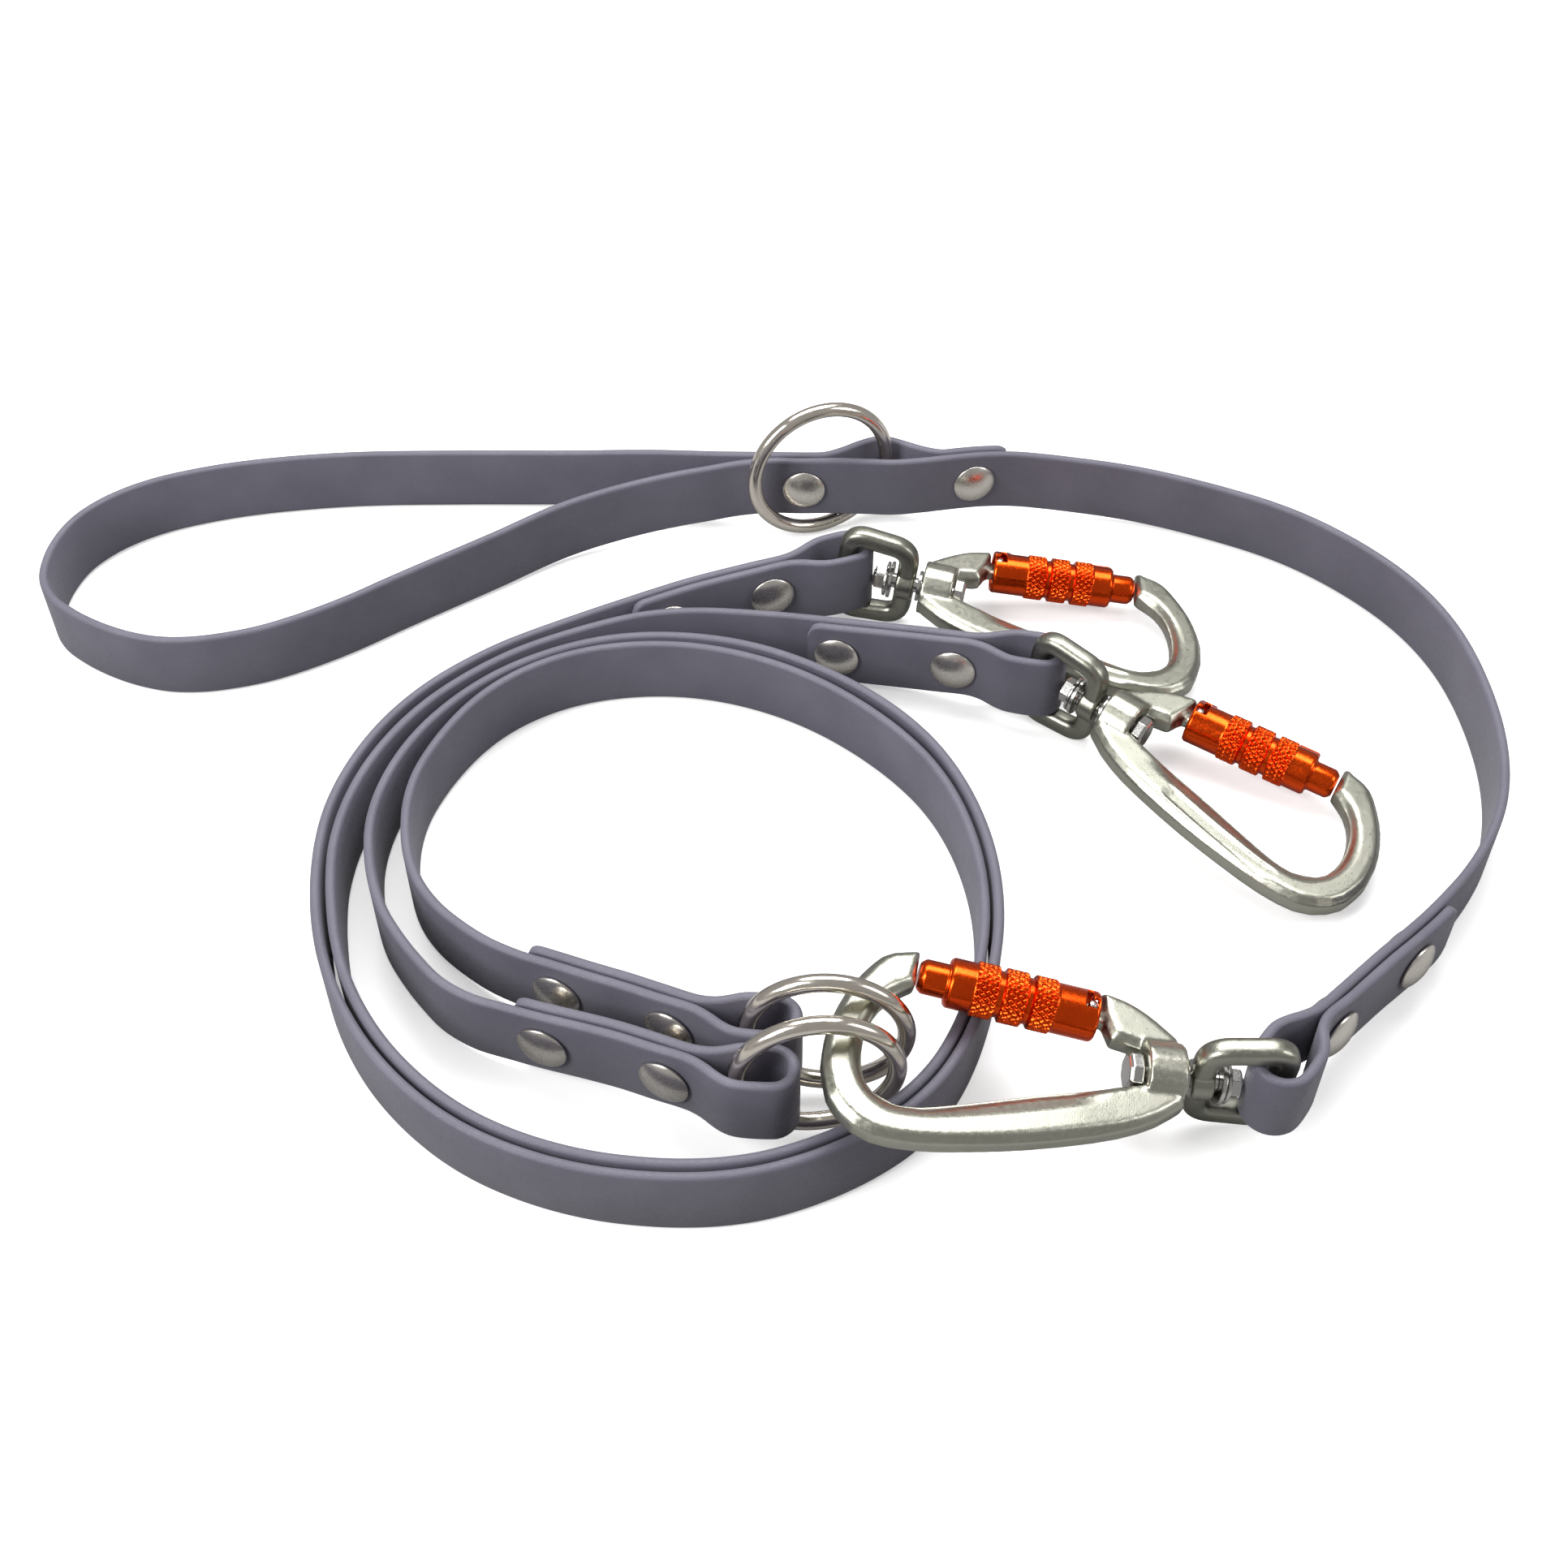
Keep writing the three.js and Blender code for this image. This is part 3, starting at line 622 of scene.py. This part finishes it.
BOW_BAR = 4.8  # thickness of the bow's bar
BOW_SWELL = 1.12  # makes up for what the smoothing takes off
BOW_FAR = (-20.2, 12.8)  # corner at the strap, along and across
BOW_NEAR = (-3.6, 11.3)  # corner at the boss
BOW_CORNER = 4.6  # how far a corner's rounding reaches along each side
BOW_STEP = 0.6
BOW_SIDES = 24
BOW_SQUARENESS = 0.7  # 1 gives a round bar, less gives a squarer one
BOW_VOXEL, BOW_ROUNDS = 0.3, 6
SEAT = ((0, -6.1), (3.9, -6.1), (4.4, -5.6), (4.4, -1.6), (3.9, -1.15), (0, -1.15))
SEAT_SIDES = 32


def bow_path():
    """Middle line of the bow's bar as (along, across): a flared loop with well rounded corners."""
    corners = [BOW_FAR, BOW_NEAR, (BOW_NEAR[0], -BOW_NEAR[1]), (BOW_FAR[0], -BOW_FAR[1])]
    points = []
    for i, corner in enumerate(corners):
        here, before, after = (np.array(corners[(i + k) % 4]) for k in (0, -1, 1))
        start = here + (before - here) / np.linalg.norm(before - here) * BOW_CORNER
        end = here + (after - here) / np.linalg.norm(after - here) * BOW_CORNER
        for t in np.linspace(0, 1, 9):
            points.append((1 - t) ** 2 * start + 2 * t * (1 - t) * here + t**2 * end)
    points.append(points[0])
    points = np.array(points)
    run = np.concatenate([[0], np.cumsum(np.linalg.norm(np.diff(points, axis=0), axis=1))])
    even = np.linspace(0, run[-1], int(run[-1] / BOW_STEP))[:-1]
    return np.stack([np.interp(even, run, points[:, k]) for k in range(2)], 1)


def bow(clip):
    """The forged bow: a rounded bar swept round the loop, with a round seat for the bolt."""
    near = clip.origin + clip.x * BOW_NEAR[0] * MM
    along = near - clip.bar
    along /= np.linalg.norm(along)
    side = np.cross(clip.bar_axis, along)

    def world(u, v, w):
        return near + (along * (u - BOW_NEAR[0]) + clip.bar_axis * v + side * w) * MM

    path = bow_path()
    ahead = np.roll(path, -1, 0) - np.roll(path, 1, 0)
    ahead /= np.linalg.norm(ahead, axis=1)[:, None]
    verts = []
    for (u, v), (du, dv) in zip(path, ahead):
        for k in range(BOW_SIDES):
            angle = 2 * math.pi * k / BOW_SIDES
            cos, sin = math.cos(angle), math.sin(angle)
            out = BOW_SWELL * BOW_BAR / 2 * math.copysign(abs(cos) ** BOW_SQUARENESS, cos)
            up = BOW_SWELL * BOW_BAR / 2 * math.copysign(abs(sin) ** BOW_SQUARENESS, sin)
            verts.append(world(u + dv * out, v - du * out, up))
    faces = sheet(len(path), BOW_SIDES, True)
    first = len(verts)
    for radius, u in SEAT:
        for k in range(SEAT_SIDES):
            angle = 2 * math.pi * k / SEAT_SIDES
            verts.append(world(u, radius * math.cos(angle), radius * math.sin(angle)))
    faces += [tuple(first + i for i in reversed(face)) for face in sheet(len(SEAT), SEAT_SIDES)]
    # the bow's darker forging colour is painted shade, not a darker metal
    piece = make(f"{clip.name}_bow_forging", verts, faces, PAINTED_SHADE_FORGING)
    clean(piece)
    fuse(piece, BOW_VOXEL, BOW_ROUNDS)
    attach(piece, f"{clip.name}_bow")
    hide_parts(f"{clip.name}_bow")


# gate: distance along its axis, and radius
GATE_BAR = ((6.4, 0), (6.4, 4.2), (33.6, 4.2), (33.9, 3.85), (38.4, 3.85), (38.9, 3.75), (39.6, 3.2),
            (40, 2.7), (40, 0))
GATE_SIDES = 96


def gate_ring(along, radii):
    """A ring of points (along, y, z) about the gate's axis, with the given radii."""
    points = []
    for k, radius in enumerate(radii):
        angle = 2 * math.pi * k / len(radii)
        points.append((along, radius * math.cos(angle), radius * math.sin(angle)))
    return points


def gate(clip):
    """The gate's round bar with its stepped, chamfered tip."""
    verts = []
    for along, radius in GATE_BAR:
        verts += gate_ring(along, [radius] * GATE_SIDES)
    faces = sheet(len(GATE_BAR), GATE_SIDES)
    piece = make(f"{clip.name}_gate_bar", clip.gate_frame(verts), faces, ORANGE)
    clean(piece)
    sharpen(piece, 28)
    bevel(piece, 0.12, 28)
    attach(piece, f"{clip.name}_gate")
    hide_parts(f"{clip.name}_gate", f"{clip.name}_gate_spring")


SLEEVE_START, SLEEVE_END = 0.6, 33.5  # along the gate's axis
SLEEVE_RADIUS = 5.55
SLEEVE_WALL = 0.85
SLEEVE_SIDES = 240
END_ROUND = 0.7  # length over which either end of the sleeve is rounded in
GROOVE_RADIUS = 5.1
BANDS = ((10.0, 15.2), (16.4, 21.6), (22.8, 28.0))  # from and to, along the axis
BAND_RADIUS = 5.5  # bottom of the knurling
KNURL_HEIGHT = 0.5
KNURL_EDGE = 0.3  # length of the plain slope on either side of a band
KNURLS_ROUND = 24
KNURL_PITCH = 2.0
KNURL_STEEPNESS = 4.6
FINE_STEP, PLAIN_STEP = 0.22, 0.4  # between rings of points, on and off the bands


def off_angle(angle, degrees):
    """Distance round the sleeve, in degrees, from a given direction."""
    return abs((math.degrees(angle) - degrees + 180) % 360 - 180)


def knurl(along, angle):
    """Height of the diamond pattern, from 0 in its cuts to 1 on its tops."""
    height = 1.0
    for way in (1, -1):
        turn = KNURLS_ROUND * angle / (2 * math.pi) + way * along / KNURL_PITCH
        height = min(height, abs((turn % 1) - 0.5) * KNURL_STEEPNESS)
    return height


def sleeve_radius(along, angle):
    """Outer radius of the lock sleeve: smooth ends, three knurled bands and the grooves between."""
    for low, high in BANDS:
        if low <= along <= high:
            edge = min(along - low, high - along)
            if edge < KNURL_EDGE:
                return BAND_RADIUS + 0.9 * KNURL_HEIGHT * edge / KNURL_EDGE
            return BAND_RADIUS + KNURL_HEIGHT * knurl(along, angle)
    if BANDS[0][1] < along < BANDS[2][0]:
        return GROOVE_RADIUS
    lip = 0.0
    if along < 5.2:
        lip = 0.5 * math.exp(-((off_angle(angle, 34) / 9) ** 2))
    elif along > 28:
        lip = 0.6 * math.exp(-((off_angle(angle, 28) / 8) ** 2))
    end = min(along - SLEEVE_START, SLEEVE_END - along)
    return SLEEVE_RADIUS + lip - 0.45 * max(0.0, 1 - end / END_ROUND) ** 1.5


def slotted(along, angle):
    """Whether the sleeve is cut away: a bent notch at each pin head, and a slot at the nose."""
    for pin in (90, -90):
        if off_angle(angle, pin) < 15 and 0.9 < along < 4.0:
            return True
        if off_angle(angle, pin - math.copysign(24, pin)) < 26 and 2.4 < along < 4.0:
            return True
    return off_angle(angle, 40) < 7 and along > 22.6


def sleeve_stations():
    """Where the sleeve's rings of points stand: close together at its ends and on its bands."""
    stations = [SLEEVE_START, 0.75, 0.9, 1.1, 1.3]
    at = 1.5
    while at < SLEEVE_END - 0.9:
        stations.append(at)
        knurled = any(low - 0.4 <= at <= high + 0.4 for low, high in BANDS)
        at += FINE_STEP if knurled else PLAIN_STEP
    return stations + [SLEEVE_END - back for back in (0.7, 0.4, 0.15, 0)]


def sleeve(clip):
    """The lock sleeve: an open skin with its slots left out, then given a wall inward."""
    stations = sleeve_stations()
    angles = [2 * math.pi * k / SLEEVE_SIDES for k in range(SLEEVE_SIDES)]
    verts = []
    for along in stations:
        verts += gate_ring(along, [sleeve_radius(along, angle) for angle in angles])
    faces = []
    for i, quad in enumerate(sheet(len(stations), SLEEVE_SIDES)):
        row, k = divmod(i, SLEEVE_SIDES)
        middle = (stations[row] + stations[row + 1]) / 2
        if not slotted(middle, 2 * math.pi * (k + 0.5) / SLEEVE_SIDES):
            faces.append(quad)
    name = f"{clip.name}_lock_sleeve_knurled"
    piece = make(name, clip.gate_frame(verts), faces, ORANGE)
    work = bmesh.new()
    work.from_mesh(piece.data)
    bmesh.ops.delete(work, geom=[v for v in work.verts if not v.link_faces], context="VERTS")
    work.to_mesh(piece.data)
    work.free()
    wall = piece.modifiers.new("wall", "SOLIDIFY")
    wall.thickness = SLEEVE_WALL * MM
    wall.offset = -1
    wall.use_even_offset = False
    sharpen(piece, 40)
    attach(piece, f"{clip.name}_sleeve")
    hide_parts(f"{clip.name}_lock_sleeve")


PIN_HALF = ((0, 4.55), (0.6, 4.5), (0.95, 4.32), (1.0, 4.0))  # radius, and distance from the middle


def gate_pin(clip):
    """The hinge pin with two low rivet-like heads that stay clear of the turning sleeve."""
    profile = [(radius, -far) for radius, far in PIN_HALF]
    profile += PIN_HALF[::-1]
    place = clip.gate_frame([(HINGE[0], HINGE[1], 0)])[0]
    piece = lathe(f"{clip.name}_gate_pin_headed", profile, place, clip.z, STEEL, 32)
    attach(piece, f"{clip.name}_body")
    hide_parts(f"{clip.name}_gate_pin")


# swivel: radius, and distance along the carabiner's x axis
BOLT_HEAD = ((0, 9.7), (4.15, 9.7), (4.45, 10.0), (4.45, 12.1), (3.7, 12.85), (0, 12.85))
BOLT_SHANK = ((0, -12.6), (1.7, -12.6), (2, -12.3), (2, 9.9), (0, 9.9))
SPACER = ((2.3, -0.15), (4.0, -0.15), (4.15, 0.0), (4.15, 0.6), (4.0, 0.75), (2.3, 0.75))
WASHER = ((2.3, -8.1), (4.8, -8.1), (5.0, -7.95), (5.0, -7.3), (4.8, -7.15), (2.3, -7.15))
NUT_FLANGE = ((2.1, -9.5), (3.4, -9.5), (4.6, -9.2), (4.7, -8.95), (4.7, -8.55), (4.5, -8.4), (2.1, -8.4))
NUT = ((2.1, -12.2), (2.9, -12.2), (3.35, -11.8), (3.35, -9.3), (2.1, -9.3))
HEAD_SIDES, HEX_SIDES, SHANK_SIDES, ROUND_SIDES = 8, 6, 40, 56


def turned(clip, label, profile, sides, smooth=True):
    """A steel piece turned about the swivel's axis that rides with the bow."""
    name = f"{clip.name}_{label}"
    piece = lathe(name, profile, clip.origin, clip.x, STEEL, sides, smooth)
    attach(piece, f"{clip.name}_bow")
    return piece


def swivel(clip):
    """Bolt with a faceted head, spacer, washer and flanged hexagon nut."""
    head = turned(clip, "bolt_head", BOLT_HEAD, HEAD_SIDES, False)
    bevel(head, 0.18)
    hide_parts(f"{clip.name}_swivel_bolt")
    shank = turned(clip, "bolt_shank", BOLT_SHANK, SHANK_SIDES)
    sharpen(shank)
    for label, profile in (("spacer", SPACER), ("washer", WASHER), ("nut_flange", NUT_FLANGE)):
        piece = turned(clip, f"{label}_turned", (*profile, profile[0]), ROUND_SIDES)
        sharpen(piece, 30)
        if label != "nut_flange":
            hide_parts(f"{clip.name}_swivel_{label}")
    nut = turned(clip, "nut_turned", (*NUT, NUT[0]), HEX_SIDES, False)
    bevel(nut, 0.15)
    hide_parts(f"{clip.name}_swivel_nut")


# ---- the leash ----------------------------------------------------------------------------------
for node in ("coupler_strap_a", "coupler_strap_b", "handle_strap"):
    strap(node)
for node in sorted(frame["nodes"]):
    if node.endswith("_socket_cap"):
        rivet(node[: -len("_socket_cap")])
for node in ("handle_ring", "coupler_ring_a", "coupler_ring_b"):
    ring(node)
for name in ("carabiner_a", "carabiner_b", "carabiner_main"):
    clip = Carabiner(name)
    for build in (body, bow, gate, sleeve, gate_pin, swivel):
        build(clip)


# ---- studio -------------------------------------------------------------------------------------
FLOOR_HALF = 6.0  # half the floor's side, in metres
FLOOR_DROP = 0.0004  # the floor lies this far below the leash
FLOOR_DARK, FLOOR_LIFT = 0.3, 0.62  # shade seen in reflections, and what the camera sees on top
FLOOR_GLOW = 0.45
SKY_COLOR = (0.96, 0.95, 0.94, 1)
SKY_LIGHT, SKY_BACKDROP = 0.34, 1.0  # strength as a light, and as the camera sees it
LENS = 45.4  # focal length in millimetres on a 36 mm sensor
CAMERA_PLACE = (0.01092, -0.34282, 0.3654)
CAMERA_DOWN = 46.26  # degrees below the horizon


def floor():
    """A pale floor that reflects less in the metal than it shows to the camera."""
    m = Nodes("studio_floor", (0.93, 0.93, 0.93), 0.9, 0)
    mottle = m.spread(m.noise(2, 2), 0, 0.02)
    seen = m.add("ShaderNodeLightPath").outputs["Is Camera Ray"]
    value = m.add("ShaderNodeMath", operation="MULTIPLY_ADD")
    m.link(seen, value.inputs[0])
    value.inputs[1].default_value = FLOOR_LIFT
    value.inputs[2].default_value = FLOOR_DARK
    shade = m.add("ShaderNodeMath", operation="ADD")
    m.link(value.outputs[0], shade.inputs[0])
    m.link(mottle, shade.inputs[1])
    color = m.add("ShaderNodeCombineColor")
    for channel in ("Red", "Green", "Blue"):
        m.link(shade.outputs[0], color.inputs[channel])
    m.link(color.outputs[0], m.shader.inputs["Base Color"])
    m.link(color.outputs[0], m.shader.inputs["Emission Color"])
    glow = m.add("ShaderNodeMath", operation="MULTIPLY")
    m.link(seen, glow.inputs[0])
    glow.inputs[1].default_value = FLOOR_GLOW
    m.link(glow.outputs[0], m.shader.inputs["Emission Strength"])
    signs = ((-1, -1), (1, -1), (1, 1), (-1, 1))
    corners = [(x * FLOOR_HALF, y * FLOOR_HALF, -FLOOR_DROP) for x, y in signs]
    mesh = bpy.data.meshes.new("studio_floor")
    mesh.from_pydata(corners, [], [(0, 1, 2, 3)])
    mesh.materials.append(m.material)
    plane = bpy.data.objects.new("studio_floor", mesh)
    bpy.context.scene.collection.objects.link(plane)


def softbox(name, place, target, size, power):
    """A rectangular lamp aimed at a point."""
    light = bpy.data.lights.new(name, "AREA")
    light.shape = "RECTANGLE"
    light.size, light.size_y = size
    light.energy = power
    lamp = bpy.data.objects.new(name, light)
    lamp.location = place
    lamp.rotation_euler = (Vector(target) - Vector(place)).to_track_quat("-Z", "Y").to_euler()
    bpy.context.scene.collection.objects.link(lamp)


def world():
    """A dim studio all round for light and reflections, and a pale backdrop to the camera."""
    sky = bpy.data.worlds.new("studio")
    sky.use_nodes = True
    tree = sky.node_tree
    background = tree.nodes["Background"]
    background.inputs["Color"].default_value = SKY_COLOR
    path = tree.nodes.new("ShaderNodeLightPath")
    strength = tree.nodes.new("ShaderNodeMapRange")
    tree.links.new(path.outputs["Is Camera Ray"], strength.inputs["Value"])
    strength.inputs["To Min"].default_value = SKY_LIGHT
    strength.inputs["To Max"].default_value = SKY_BACKDROP
    tree.links.new(strength.outputs["Result"], background.inputs["Strength"])
    bpy.context.scene.world = sky


def camera():
    """Looks down on the leash from the front."""
    lens = bpy.data.cameras.new("camera")
    lens.sensor_width = 36
    lens.lens = LENS
    lens.clip_start = 0.01
    lens.clip_end = 50
    view = bpy.data.objects.new("camera", lens)
    view.location = CAMERA_PLACE
    view.rotation_euler = (math.radians(90 - CAMERA_DOWN), 0, 0)
    bpy.context.scene.collection.objects.link(view)
    bpy.context.scene.camera = view


floor()
world()
softbox("top_back", (0.0, 0.3, 0.8), (0.0, 0.0, 0), (0.8, 0.45), 8.4)
softbox("left_key", (-0.7, -0.45, 0.7), (0, 0.0, 0), (0.4, 0.6), 9)
softbox("right_fill", (0.85, -0.2, 0.55), (0.03, 0.0, 0), (0.3, 0.5), 2.2)
camera()
bpy.context.scene.view_settings.view_transform = "Standard"

bpy.context.view_layer.update()
